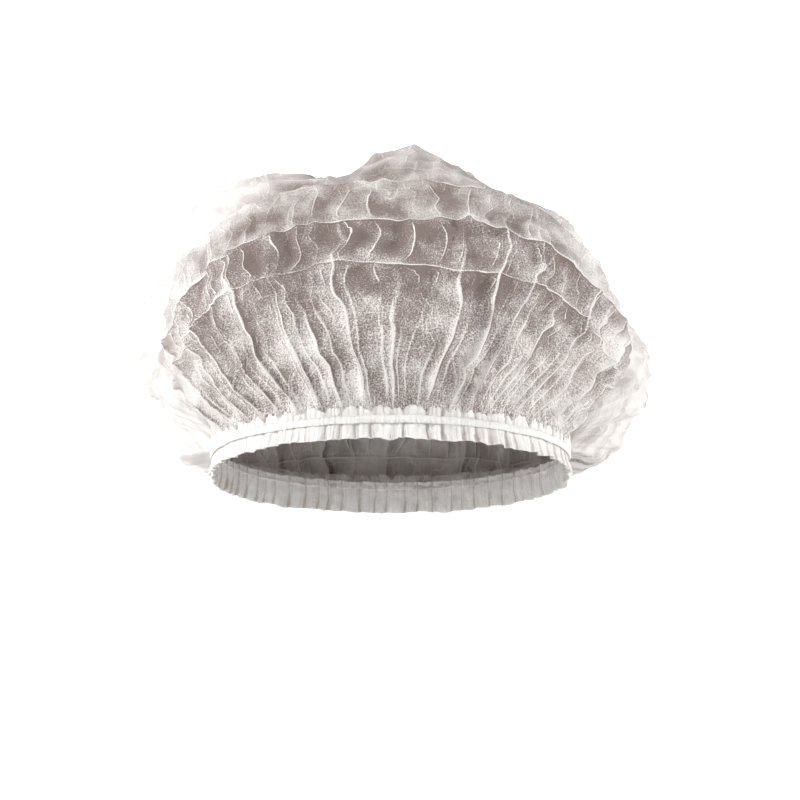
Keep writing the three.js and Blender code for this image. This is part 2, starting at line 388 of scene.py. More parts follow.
class Wiring:
    """Short ways to add and join the nodes of a tree."""

    def __init__(self, tree: bpy.types.NodeTree) -> None:
        """Keeps the tree that the nodes go into."""
        self.tree = tree

    def put(self, value: object, target: Socket) -> None:
        """Links a socket to an input, or sets the input's value."""
        if isinstance(value, Socket):
            self.tree.links.new(value, target)
        else:
            target.default_value = value

    def fill(self, node: bpy.types.Node, inputs: dict[str, object]) -> None:
        """Links or sets a node's named inputs."""
        for label, value in inputs.items():
            self.put(value, node.inputs[label])

    def add(self, kind: str, settings: dict[str, object] | None = None, **inputs: object) -> bpy.types.Node:
        """Adds a node.

        Args:
            kind: The node's type.
            settings: Values for its properties.
            **inputs: Sockets or values for its named inputs.

        Returns:
            The new node.
        """
        node = self.tree.nodes.new(kind)
        for label, value in (settings or {}).items():
            setattr(node, label, value)
        self.fill(node, inputs)
        return node

    def read(self, name: str, output: str = "Fac") -> Socket:
        """What the mesh keeps under a name, or 0 where it keeps nothing."""
        return self.add("ShaderNodeAttribute", {"attribute_name": name}).outputs[output]

    def maths(self, operation: str, *values: object, clamp: bool = False) -> Socket:
        """A Math node.

        Args:
            operation: What it works out.
            *values: Sockets or numbers, in order.
            clamp: Whether the result stays from 0 to 1.

        Returns:
            The result's socket.
        """
        node = self.add("ShaderNodeMath", {"operation": operation, "use_clamp": clamp})
        for value, target in zip(values, node.inputs):
            self.put(value, target)
        return node.outputs[0]

    def times(self, first: object, second: object) -> Socket:
        """One value times another."""
        return self.maths("MULTIPLY", first, second)

    def most(self, values: list[Socket]) -> Socket:
        """The highest of several values."""
        return reduce(lambda first, second: self.maths("MAXIMUM", first, second), values)

    def sum_of(self, start: object, terms: list[tuple[Socket, float]]) -> Socket:
        """A first value and a row of others, each times its strength."""
        return reduce(lambda total, term: self.maths("MULTIPLY_ADD", *term, total), terms, start)

    def spread(self, value: object, low: float, high: float, to_low: float, to_high: float) -> Socket:
        """A smooth Map Range node.

        Args:
            value: The socket to map.
            low: Start of its range.
            high: End of its range.
            to_low: Result at the start.
            to_high: Result at the end.

        Returns:
            The result's socket.
        """
        node = self.add("ShaderNodeMapRange", {"interpolation_type": "SMOOTHSTEP"}, Value=value)
        self.fill(node, {"From Min": low, "From Max": high, "To Min": to_low, "To Max": to_high})
        return node.outputs[0]

    def mix(self, share: object, first: object, second: object) -> Socket:
        """A colour between two others.

        Args:
            share: 0 for the first, 1 for the second.
            first: Colour or socket.
            second: Colour or socket.

        Returns:
            The colour's socket.
        """
        node = self.add("ShaderNodeMix", {"data_type": "RGBA"})
        for value, target in zip((share, first, second), [s for s in node.inputs if s.enabled]):
            self.put(value, target)
        return next(s for s in node.outputs if s.enabled)

    def thin_lines(self, width: float, power: float = 1, **field: object) -> Socket:
        """Thin lines where a noise crosses its middle value.

        Args:
            width: How far from the middle value a line ends.
            power: The value on the line.
            **field: Sockets or values for the noise's inputs.

        Returns:
            The lines' socket.
        """
        noise = self.add("ShaderNodeTexNoise", **field).outputs["Fac"]
        return self.spread(self.maths("ABSOLUTE", self.maths("SUBTRACT", noise, 0.5)), 0, width, power, 0)


class SharedGroup:
    """A shader group that is built once and used by every material."""

    name = ""
    takes: tuple[str, ...] = ()
    gives: tuple[str, ...] = ()

    def values(self, wires: Wiring, source: bpy.types.NodeOutputs) -> Sockets:
        """Adds the group's own nodes, and gives a socket for each name in gives."""
        raise NotImplementedError

    def build(self) -> bpy.types.NodeTree:
        """Builds the group.

        Returns:
            Its tree, with the sockets that it takes and gives.
        """
        tree = bpy.data.node_groups.new(self.name, "ShaderNodeTree")
        for label in self.takes:
            kind = "NodeSocketVector" if label == "Vector" else "NodeSocketFloat"
            tree.interface.new_socket(label, in_out="INPUT", socket_type=kind)
        for label in self.gives:
            tree.interface.new_socket(label, in_out="OUTPUT", socket_type="NodeSocketFloat")
        wires = Wiring(tree)
        values = self.values(wires, wires.add("NodeGroupInput").outputs)
        wires.add("NodeGroupOutput", **dict(zip(self.gives, values)))
        return tree

    def use(self, wires: Wiring, **inputs: object) -> list[Socket]:
        """Adds the group to a material.

        Args:
            wires: The material's wiring.
            **inputs: Sockets or numbers for what the group takes.

        Returns:
            The sockets that it gives, in order.
        """
        tree = bpy.data.node_groups.get(self.name) or self.build()
        node = wires.add("ShaderNodeGroup", {"node_tree": tree}, **inputs)
        return [node.outputs[label] for label in self.gives]


@dataclass(frozen=True)
class NonwovenWeb(SharedGroup):
    """The fine crossed fibres and clouds that all the cap's cloth shows. It takes how many lie in a metre."""

    name = "nonwoven web"
    takes = ("Vector", "Fibres", "Clouds")
    gives = ("Fibres", "Clouds", "Specks")
    directions: tuple[float, ...] = (0.2, 1.25, 2.3)
    stretch: float = 0.3
    fibre_width: float = 0.035

    def values(self, wires: Wiring, source: bpy.types.NodeOutputs) -> Sockets:
        """Adds the fibres, clouds and specks.

        Args:
            wires: The group's wiring.
            source: What it takes.

        Returns:
            The sockets of what it gives.
        """
        strands = []
        for i, direction in enumerate(self.directions):
            turned = wires.add(
                "ShaderNodeMapping", Vector=source["Vector"], Location=(0.37 * i, 0.19 * i, 0.11 * i),
                Rotation=(0, 0, direction), Scale=(1, self.stretch, 1),
            )
            field = {"Vector": turned.outputs[0], "Scale": source["Fibres"], "Detail": 2, "Distortion": 0.6}
            strands.append(wires.thin_lines(self.fibre_width, **field))
        near = {"Vector": source["Vector"]}
        blotch = wires.add("ShaderNodeTexNoise", **near, Scale=source["Clouds"], Detail=3)
        grain = wires.add("ShaderNodeTexNoise", **near, Scale=source["Fibres"], Detail=2, Roughness=0.8)
        clouds = wires.spread(blotch.outputs["Fac"], 0.3, 0.78, 0, 1)
        return wires.most(strands), clouds, wires.spread(grain.outputs["Fac"], 0.38, 0.64, -1, 1)


@dataclass(frozen=True)
class PressedLines(SharedGroup):
    """The fine sharp creases in thin cloth that was folded flat: lines all over, and streaks along it."""

    name = "pressed lines"
    takes = ("Vector",)
    gives = ("Lines", "Streaks")
    warp: float = 0.004
    warps_per_metre: float = 110
    # Each net of lines: how many in a metre, stretch, width, power, how many gaps in a metre
    nets: tuple[tuple[float, ...], ...] = (
        (80, 0.28, 0.02, 1, 70), (24, 3.4, 0.016, 0.8, 100), (190, 0.3, 0.03, 0.6, 130),
    )
    streaks_per_metre: float = 300
    streak_stretch: float = 0.07
    streak_width: float = 0.045

    def values(self, wires: Wiring, source: bpy.types.NodeOutputs) -> Sockets:
        """Adds the lines and streaks.

        Args:
            wires: The group's wiring.
            source: What it takes.

        Returns:
            The sockets of what it gives.
        """
        drift = wires.add("ShaderNodeTexNoise", Vector=source["Vector"], Scale=self.warps_per_metre)
        warped = wires.add("ShaderNodeVectorMath", {"operation": "MULTIPLY_ADD"})
        for value, target in zip((drift.outputs["Color"], (self.warp,) * 3, source["Vector"]), warped.inputs):
            wires.put(value, target)
        moved = warped.outputs[0]
        lines = []
        for i, (scale, stretch, width, power, gaps) in enumerate(self.nets):
            shift = (0.13 * i, 0.29 * i, 0)
            laid = wires.add("ShaderNodeMapping", Vector=moved, Location=shift, Scale=(1, stretch, 1))
            line = wires.thin_lines(width, power, Vector=laid.outputs[0], Scale=scale, Detail=0)
            gap = wires.add("ShaderNodeTexNoise", Vector=moved, Scale=gaps).outputs["Fac"]
            lines.append(wires.times(line, wires.spread(gap, 0.45, 0.6, 0, 1)))
        drawn = wires.add("ShaderNodeMapping", Vector=moved, Scale=(1, self.streak_stretch, 1)).outputs[0]
        return wires.most(lines), wires.thin_lines(self.streak_width, Vector=drawn, Scale=self.streaks_per_metre)


@dataclass(frozen=True)
class DrawnLine(SharedGroup):
    """One set of sharp creases, which lie where Place is a whole number.

    Line is the white crease, Shade a painted shadow on the side that Side names, and the third output painted shading
    between two creases, light next to one crease and dark next to the other.
    """

    name = "drawn line"
    takes = ("Place", "Power", "Width", "Side")
    gives = ("Line", "Shade", "Slope")
    line_core: float = 0.25
    shade_offset: float = 1.8
    shade_width: float = 1.6

    def values(self, wires: Wiring, source: bpy.types.NodeOutputs) -> Sockets:
        """Adds the line, its shade and the slope.

        Args:
            wires: The group's wiring.
            source: What it takes.

        Returns:
            The sockets of what it gives.
        """
        place, power, width, side = (source[label] for label in self.takes)
        aside = wires.maths("DIVIDE", wires.maths("SUBTRACT", place, wires.maths("ROUND", place)), width)
        beside = wires.maths("MULTIPLY_ADD", side, self.shade_offset, aside)
        line = wires.spread(wires.maths("ABSOLUTE", aside), self.line_core, 1, 1, 0)
        shade = wires.spread(wires.maths("ABSOLUTE", beside), 0, self.shade_width, 1, 0)
        # Painted shading: from light beside one crease to dark beside the next, turned by Side
        slope = wires.times(wires.maths("SUBTRACT", 0.5, wires.maths("FRACT", place)), side)
        line, shade = (wires.maths("MULTIPLY", mask, power, clamp=True) for mask in (line, shade))
        return line, shade, wires.times(slope, power)


@dataclass(frozen=True)
class ClothFinish:
    """Thin white nonwoven cloth: greyer where it is open, white on its fibres and where it doubles."""

    name: str
    flat: tuple[float, float]
    open_colour: Colour
    fibre_colour: Colour
    fibres_per_metre: float = 800
    clouds_per_metre: float = 55
    fibre_strength: float = 0.6
    cloud_strength: float = 0.3
    speck_strength: float = 0.1
    whiteness: float = 0
    tone_strength: float = 0
    crease_strength: float = 0.9
    line_strength: float = 0
    gather_strength: float = 0
    gather_whiteness: float = 0
    by_worn_place: bool = False
    # Sets of drawn creases: attribute name, line width, and the strength and side of the painted shading between
    # lines
    drawn: tuple[tuple[str, float, float], ...] = ()
    drawn_strength: float = 1.7
    shade_strength: float = 0.35
    roughness: float = 0.85
    sheen: float = 0.12
    gloss: float = 0.25
    veil_cover: float = 0.85
    open_fibres: float = 0.4
    cloud_relief: float = 0.6
    line_relief: float = 4
    bump_strength: float = 0.6
    bump_distance: float = 0.00035

    def material(self) -> bpy.types.Material:
        """Builds the material.

        Returns:
            A material that reads the piece's cloth UV map or worn place, and its crease, tone, gather and
            veil values.
        """
        made = bpy.data.materials.new(self.name)
        made.use_nodes = True
        wires = Wiring(made.node_tree)
        if self.by_worn_place:
            place = wires.read(WORN, "Vector")
        else:
            laid = wires.add("ShaderNodeUVMap", {"uv_map": CLOTH_UV}).outputs[0]
            place = wires.add("ShaderNodeMapping", Vector=laid, Scale=(*self.flat, 1)).outputs[0]
        crease, tone, gather, veil = (wires.read(name) for name in (CREASE, TONE, GATHER, VEIL))
        fibres, clouds, specks = NonwovenWeb().use(
            wires, Vector=place, Fibres=self.fibres_per_metre, Clouds=self.clouds_per_metre
        )
        lines, streaks = PressedLines().use(wires, Vector=place)
        streaks = wires.times(wires.times(streaks, gather), self.gather_strength)
        lines = wires.maths("MULTIPLY_ADD", lines, self.line_strength, streaks)
        bare = wires.maths("MULTIPLY_ADD", veil, -self.veil_cover, 1)
        fibrous = wires.times(fibres, wires.maths("MULTIPLY_ADD", clouds, 1 - self.open_fibres, self.open_fibres))
        terms = [
            (clouds, self.cloud_strength),
            (wires.times(fibrous, bare), self.fibre_strength),
            (wires.times(specks, bare), self.speck_strength),
            (wires.maths("SUBTRACT", 1, tone), self.tone_strength),
            (gather, self.gather_whiteness),
            (lines, 1),
        ]
        for name, width, slope in self.drawn:
            place, power = wires.read(name + PLACE), wires.read(name + POWER)
            side = math.copysign(1, slope)
            line, shade, step = DrawnLine().use(wires, Place=place, Power=power, Width=width, Side=side)
            # Each set adds its white line, a painted shadow beside it and painted shading between it and the next
            terms += [(line, self.drawn_strength), (shade, -self.shade_strength), (step, abs(slope))]
            lines = wires.most([lines, line])
        white = wires.sum_of(self.whiteness, terms)
        white = wires.maths("MULTIPLY_ADD", crease, self.crease_strength, white, clamp=True)
        relief = wires.sum_of(fibres, [(clouds, self.cloud_relief), (lines, self.line_relief)])
        bump = wires.add("ShaderNodeBump", Height=relief, Strength=self.bump_strength, Distance=self.bump_distance)
        wires.fill(made.node_tree.nodes["Principled BSDF"], {
            "Base Color": wires.mix(white, self.open_colour, self.fibre_colour),
            "Roughness": self.roughness,
            "Sheen Weight": self.sheen,
            "Specular IOR Level": self.gloss,
            "Normal": bump.outputs[0],
        })
        return made


@dataclass
class ClothPiece:
    """One piece of the cap: a grid of cloth with a wall, a finish and its place in the frame.

    names holds the piece's name, its node's and its slot's, with {} for the edge or ear that it lies at.
    """

    form: CapForm
    lies_at: Edge | Side | None = None
    names = ("", "", "")
    is_sheet = False

    def build(self) -> bpy.types.Object:
        """Returns:
            The piece.
        """
        where = self.lies_at.name.lower() if self.lies_at else ""
        name, node, slot = (pattern.format(where) for pattern in self.names)
        piece = cloth_mesh(name, self.segments, self.place)
        wall = piece.modifiers.new("wall", "SOLIDIFY")
        wall.thickness, wall.offset = self.thickness, 0
        piece.data.materials.append(self.finish.material())
        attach(piece, "root")
        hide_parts(node)
        return piece


@dataclass
class Crown(ClothPiece):
    """The puffed crown: one sheet, gathered at both hems and pleated in to both ears."""

    names = ("crown_cloth", "crown", "crown_cloth")
    is_sheet = True
    segments: tuple[int, int] = (290, 169)
    thickness: float = 0.4 * MM
    # Where relief fades in: shares of the width from an ear, and millimetres from a hem
    held_at_ear: tuple[float, float] = (0, 0.05)
    free_at_ear: tuple[float, float] = (0.02, 0.16)
    free_at_hem: tuple[float, float] = (22, 60)
    crumpled_at_ear: tuple[float, float] = (0.01, 0.12)
    crumpled_at_hem: tuple[float, float] = (4, 60)
    lobed_at_hem: tuple[float, float] = (0, 62)
    # What the columns of LONG_FOLDS are multiplied by
    fold_gain: tuple[float, ...] = (1, 1.45, 0.85, 1)
    crease_depth: float = 3.2
    crinkle_depth: float = 2.9
    crinkle_cells: int = 40
    crumple_scales: tuple[tuple[tuple[int, int], float], ...] = (((24, 20), 3.2), ((54, 40), 2.4), ((110, 70), 1.1))
    # Painted shade: how much greyer the relief's hollows are painted, and paler its raised parts
    hollow_shade: float = 0.06
    settle: float = 2
    top_pale: float = 0.24
    under_shade: float = 0.34
    under_veil: float = 0.16
    lifted_smoothness: float = 0.78
    ear_fold_depth: float = 1.7
    ear_fold_reach: float = 46
    ear_folds: int = 30
    ear_span: float = 380
    small_gathers: int = 56
    gather_fade: float = 34
    # The grey middle of the front: its half width, half height and middle's height, in millimetres
    grey_span: tuple[float, float, float] = (121, 112, 62)
    finish: ClothFinish = ClothFinish(
        name="crown nonwoven",
        # Too small: the form's longest lines are 0.475 by 0.446 m.
        flat=(0.42, 0.44),
        open_colour=(0.235, 0.182, 0.165, 1),
        fibre_colour=(0.975, 0.93, 0.9, 1),
        tone_strength=0.8,
        fibres_per_metre=1300,
        fibre_strength=0.8,
        cloud_strength=0.56,
        whiteness=-0.05,
        speck_strength=0.38,
        crease_strength=0.5,
        line_strength=0.32,
        gather_strength=0.45,
        gather_whiteness=0.14,
        by_worn_place=True,
        # Folds, gathers, creases and crinkles, each with a painted shadow beside its lines and painted shading
        # between them
        drawn=(
            ("folds", 0.046, -0.6), ("gathers", 0.095, -0.6), ("creases", 0.018, 0.6), ("crinkles", 0.032, -0.5),
        ),
    )

    def outward(self, across: Shares, along: Shares) -> tuple[Points, Points, Shares, Shares]:
        """The smooth form's directions.

        Args:
            across: Shares across.
            along: Shares along.

        Returns:
            Outward directions, directions across, millimetres per share across, and per share along.
        """
        step = 1e-3
        left, right = np.maximum(across - step, 0), np.minimum(across + step, 1)
        front, back = np.maximum(along - step, 0), np.minimum(along + step, 1)
        sidewards = (self.form.crown(right, along) - self.form.crown(left, along)) / (right - left)[:, None]
        backwards = (self.form.crown(across, back) - self.form.crown(across, front)) / (back - front)[:, None]
        out, _ = unit(np.cross(sidewards, backwards))
        out[:, 2] *= smooth(self.form.from_hem(along), 0, self.form.gather_length)
        sidewards, wide = unit(sidewards)
        return unit(out)[0], sidewards, wide, unit(backwards)[1]

    def lobes(self, across: Shares, along: Shares) -> Shares:
        """Heights of the soft lobes and dents, in millimetres."""
        total = 0 * across
        for at_across, at_along, wide, deep, push in LOBES:
            aside, beyond = (across - at_across) / wide, (along - at_along) / deep
            total += push * self.form.crown_reach * np.exp(-(aside**2) - beyond**2)
        return total * smooth(self.form.from_hem(along), *self.lobed_at_hem)

    def gathers(self, across: Shares, along: Shares, wide: Shares, edge: Edge) -> tuple[Shares, Shares, Drawn]:
        """The long folds and the small gathers above one hem.

        Args:
            across: Shares of the cloth's width, already wandering a little.
            along: Shares along.
            wide: Millimetres per share across.
            edge: Which hem.

        Returns:
            Heights, moves across in millimetres, and the places and powers of the drawn lines.
        """
        distance = ((along if edge is Edge.FRONT else 1 - along) * self.form.length)[:, None]
        rng = np.random.default_rng(11 if edge is Edge.FRONT else 12)
        count = self.small_gathers
        small = np.stack([
            (np.arange(count) + 0.5 + rng.uniform(-0.35, 0.35, count)) / count,
            rng.uniform(0.9, 2.3, count), rng.uniform(16, 44, count), rng.uniform(-0.004, 0.004, count),
        ], -1)
        height, pinch, drawn = 0 * across, 0 * across, {}
        for name, folds in (("folds", np.array(LONG_FOLDS[edge]) * self.fold_gain), ("gathers", small)):
            at, tall, length, drift = folds.T
            marks = at + drift * smooth(distance, 0, 2 * length)
            fade = np.exp(-((distance / length) ** 2)) * smooth(distance, -4, 9)
            aside = (across[:, None] - marks) * wide[:, None]
            width = 1.8 + 0.035 * distance
            height += (tall * fade * fold(aside, width)).sum(1)
            pinch -= (0.4 * aside * np.exp(-((aside / 3.5) ** 2)) * fade * np.minimum(tall / 3, 1)).sum(1)
            drawn[name + PLACE] = between(across, marks)
            reach = np.exp(-((distance / (1.25 * length)) ** 4)) * smooth(distance, 1, 9)
            drawn[name + POWER] = at_nearest(drawn[name + PLACE], np.minimum(tall / 3.2, 1) * reach)
        return height, pinch, drawn

    def creases(self, across: Shares, along: Shares, long: Shares) -> tuple[Shares, Drawn]:
        """The ear-to-ear creases left by the flat pack.

        Args:
            across: Shares across.
            along: Shares along.
            long: Millimetres per share along.

        Returns:
            Heights, and the places and powers of the drawn lines.
        """
        marks, powers = [], []
        for i, (at, strength) in enumerate(CREASES):
            wander = 0.006 * drifting(across, along * 0, (9, 1), 40 + i)
            marks.append(at + wander + 0.0022 * drifting(across, along * 0, (34, 1), 70 + i))
            powers.append(strength * (0.75 + 0.45 * drifting(across, along * 0, (8, 1), 100 + i)))
        marks, powers = np.array(marks).T, np.array(powers).T
        height = (powers * crest((along[:, None] - marks) * long[:, None], 4.2, 0.4)).sum(1)
        place = between(along, marks)
        return height * self.crease_depth, {"creases" + PLACE: place, "creases" + POWER: at_nearest(place, powers)}

    def crinkles(self, across: Shares, along: Shares, wide: Shares) -> tuple[Shares, Drawn]:
        """The short folds that cross the space between two creases.

        Args:
            across: Shares across.
            along: Shares along.
            wide: Millimetres per share across.

        Returns:
            Heights, and the places and powers of the drawn lines.
        """
        bounds = np.array([0.06, 0.115] + [at for at, _ in CREASES] + [1])
        band = np.clip(np.searchsorted(bounds, along) - 1, 0, len(bounds) - 2)
        t = np.clip((along - bounds[band]) / (bounds[band + 1] - bounds[band]), 0, 1)[:, None]
        rng = np.random.default_rng(5)
        shape = (len(bounds), self.crinkle_cells + 2)
        jitter, slope = rng.uniform(-0.25, 0.25, shape)[band], rng.uniform(-0.4, 0.4, shape)[band]
        power, peak = rng.uniform(0.35, 1.1, shape)[band], rng.uniform(-0.1, 1.1, shape)[band]
        start = rng.uniform(0, 1, len(bounds))[band]
        marks = np.arange(shape[1]) - start[:, None] + jitter + slope * (t - 0.5)
        fade = power * np.exp(-(((t - peak) / 0.8) ** 2))
        aside = (across[:, None] * self.crinkle_cells - marks) * wide[:, None] / self.crinkle_cells
        height = (fade * crest(aside, 4.2, 0.45)).sum(1)
        place = between(across * self.crinkle_cells, marks)
        ends = smooth(np.minimum(t[:, 0], 1 - t[:, 0]), 0.05, 0.2)
        drawn = {"crinkles" + PLACE: place, "crinkles" + POWER: at_nearest(place, fade) * ends}
        return (height - 0.4) * self.crinkle_depth, drawn

    def crumples(self, across: Shares, along: Shares) -> Shares:
        """Sharp small folds all over at three scales, in millimetres."""
        total = 0 * across
        for i, (cells, tall) in enumerate(self.crumple_scales):
            ridge = drifting(across, along, cells, 80 + i)
            total += tall * (0.4 - np.sqrt(ridge**2 + 0.03**2))
        return total

    def ear_pleats(self, across: Shares, along: Shares, long: Shares) -> tuple[Shares, Shares]:
        """The folds that run in to the tab at each ear.

        Args:
            across: Shares across.
            along: Shares along.
            long: Millimetres per share along.

        Returns:
            Heights and crease values.
        """
        height, line = 0 * across, 0 * across
        for seed, ear in ((21, np.minimum(across, 1)), (22, 1 - across)):
            rng = np.random.default_rng(seed)
            distance = ear * self.ear_span
            for i in range(self.ear_folds):
                at = (i + 0.5 + rng.uniform(-0.3, 0.3)) / self.ear_folds
                reach = self.ear_fold_reach * rng.uniform(0.6, 1.5)
                tall = self.ear_fold_depth * rng.uniform(0.5, 1.2)
                drift = rng.uniform(-0.02, 0.02) * smooth(distance, 0, 90)
                aside = (along - at - drift) * long
                width = np.clip(0.25 * long / self.ear_folds, 0.4, 3.2)
                fade = np.exp(-((distance / reach) ** 2)) * smooth(distance, 0, 16)
                height += tall * np.minimum(width / 2, 1) * fade * fold(aside, width)
                line += 0.4 * (fade * crest(aside, width)) ** 3
        return height, np.clip(line, 0, 1)

    def tone(self, points: Points) -> Shares:
        """How grey the cloth reads: most in the middle of the front, and white round the rim.

        Args:
            points: Points in metres.

        Returns:
            Values from 0, white, to 1, grey.
        """
        x, y, z = (points / MM).T
        half_width, half_height, middle = self.grey_span
        far = np.sqrt((x / half_width) ** 2 + ((z - middle) / half_height) ** 2)
        # Painted light: paler towards the upper left and the lower left, where the light falls, and greyer towards
        # the lower right
        far += 0.15 * smooth(-x, 40, 85) * smooth(z, 92, 122)
        far += (0.05 * smooth(-x, 35, 75) - 0.09 * smooth(x, 35, 75)) * (1 - smooth(z, 30, 75))
        return (1 - smooth(far, 0.68, 1.02)) * (1 - 0.45 * smooth(y, 10, 90))

    def place(self, across: Shares, along: Shares) -> Placed:
        """Every point of the crown.

        Args:
            across: Shares across.
            along: Shares along.

        Returns:
            Points in metres, and the values kept on them.
        """
        out, sidewards, wide, long = self.outward(across, along)
        hem, ear = self.form.from_hem(along), np.minimum(across, 1 - across)
        held = smooth(ear, *self.held_at_ear)
        wander = 0.006 * drifting(across, along, (14, 24), 3) + 0.0062 * drifting(across, along, (44, 74), 4, True)
        wandering = across + wander * held * smooth(hem, 0, 25)
        smoothly = self.lobes(across, along)
        heights = smoothly.copy()
        pinch, drawn = 0 * across, {}
        for edge, near in ((Edge.BACK, along >= 0.5), (Edge.FRONT, along < 0.5)):
            tall, aside, lines = self.gathers(wandering, along, wide, edge)
            heights += tall * held
            pinch += aside * held
            drawn.update({key: np.where(near, value, drawn.get(key, 0)) for key, value in lines.items()})
        free = smooth(ear, *self.free_at_ear) * smooth(hem, *self.free_at_hem)
        for tall, lines in (self.creases(across, along, long), self.crinkles(wandering, along + 0.4 * wander, wide)):
            heights += tall * free
            drawn.update(lines)
        lifted = (0.75 * smooth(along, 0.19, 0.21) + 0.25 * smooth(along, 0.26, 0.29)) * (1 - smooth(along, 0.5, 0.7))
        uneven = np.clip(0.85 + 0.6 * drifting(across, along, (60, 44), 91), 0, 1.2)
        rough = 1 - self.lifted_smoothness * lifted
        for key in (name for name in drawn if name.endswith(POWER)):
            drawn[key] = drawn[key] * uneven * rough * (held if key.startswith(("folds", "gathers")) else free)
        tall, line = self.ear_pleats(across, along, long)
        heights += tall
        crumpled = smooth(ear, *self.crumpled_at_ear) * smooth(hem, *self.crumpled_at_hem) * rough
        heights += self.crumples(wandering, along) * crumpled
        heights -= self.settle * smooth(hem, 20, 64) * smooth(ear, 0, 0.12)
        relief = heights - smoothly
        points = self.form.crown(across, along) + out * heights[:, None] + sidewards * pinch[:, None]
        tucked = 1 - smooth(hem, 0, 3)
        points -= out * (0.7 * tucked)[:, None]
        points[:, 2] -= 3 * tucked
        leaned = self.form.lean(points)
        gather = np.exp(-((hem / self.gather_fade) ** 2)) * held
        # Painted shade: greyer in the relief's hollows and paler on its raised parts
        hollow_shading = np.clip(1 - self.hollow_shade * relief, 0.3, 1.5)
        under = smooth(along, 0.08, 0.15) * (1 - smooth(along, 0.186, 0.2)) * smooth(ear, 0.15, 0.42)
        tone = self.tone(leaned)
        veil = np.maximum(0.9 * lifted, 1 - smooth(tone, 0.25, 0.7) * (1 - smooth(along, 0.45, 0.6)))
        veil = np.maximum(veil, self.under_veil * under)
        tone = np.clip(tone * hollow_shading, 0, 1.35) * (1 + self.under_shade * under)
        tone *= 1 - self.top_pale * smooth(along, 0.2, 0.285)
        return leaned, {
            CREASE: line, TONE: tone, GATHER: gather, VEIL: veil, WORN: self.form.worn(across, along), **drawn
        }


@dataclass
class Hem(ClothPiece):
    """One hem: a doubled band of the same cloth, frilled above and below its elastic."""

    names = ("hem_{}_cloth", "hem_{}", "hem_cloth")
    is_sheet = True
    segments: tuple[int, int] = (760, 22)
    thickness: float = 0.6 * MM
    pleats: int = 34
    fine_pleats: int = 88
    flare: float = 1.6
    finish: ClothFinish = ClothFinish(
        name="hem nonwoven",
        # As wide as the crown's, so too small for the same reason
        flat=(0.42, 0.016),
        open_colour=(0.62, 0.56, 0.52, 1),
        fibre_colour=(0.99, 0.975, 0.95, 1),
        whiteness=0.62,
        fibre_strength=0.4,
        crease_strength=0.8,
        # The pleats' edges, with a strong painted shadow beside each and painted shading across each pleat
        drawn=(("pleats", 0.07, -0.45),),
        drawn_strength=0.4,
        shade_strength=0.9,
    )

    def place(self, across: Shares, along: Shares) -> Placed:
        """Every point of the hem, from its lower edge to its upper.

        Args:
            across: Shares of the half ring.
            along: Shares of the hem's height.

        Returns:
            Points in metres, and the values kept on them.
        """
        seed = 200 if self.lies_at is Edge.FRONT else 300
        low, high = -self.form.frill_below, self.form.frill_above + 1
        height = low + (high - low) * along
        below, above = np.maximum(-height / -low, 0), np.maximum(height / high, 0)
        wander = 0.35 * drifting(across, along, (self.pleats, 3), seed)
        place = across * self.pleats + 0.3 * drifting(across, 0 * along, (self.pleats, 1), seed + 1) + 0.2 * wander
        wave = np.sin(math.pi * place)
        pleat = np.abs(wave) ** 0.45 - 0.7
        sharp = np.exp(-((wave / 0.16) ** 2))
        fine_place = across * self.fine_pleats + 0.4 * drifting(across, 0 * along, (self.fine_pleats, 1), seed + 2)
        fine = np.abs(np.sin(math.pi * fine_place)) - 0.6
        uneven = 0.75 + 0.35 * drifting(across, 0 * along, (self.pleats, 1), seed + 3)
        out = 0.5 + self.flare * below**1.5 + uneven * pleat * (0.5 + 3.0 * below + 0.9 * above)
        out += fine * (0.2 + 0.25 * below + 0.25 * above)
        out += 0.3 * drifting(across, along, (90, 6), seed + 4)
        skew = 0.0022 * np.sin(2 * math.pi * place) * (below + 0.4 * above)
        edge_fade = smooth(np.minimum(across, 1 - across), 0, 0.01)
        height = height - 0.7 * below * drifting(across, 0 * along, (46, 1), seed + 5)
        height += 0.4 * above * drifting(across, 0 * along, (80, 1), seed + 6)
        points = self.form.ring(np.clip(across + skew * edge_fade, 0, 1), out, height, self.lies_at)
        rim = np.exp(-((np.minimum(along, 1 - along) / 0.05) ** 2))
        # Whiter along both edges; painted shading on the fine pleats, paler on their crests and darker in their
        # troughs; and painted shade along each pleat's inward fold
        crease = np.clip(0.5 * rim + 0.25 * fine - 0.5 * sharp * (below + above), -0.6, 1)
        pleated = {"pleats" + PLACE: place, "pleats" + POWER: edge_fade * (0.35 + 0.65 * below + 0.4 * above)}
        return self.form.lean(points), {CREASE: crease, **pleated}


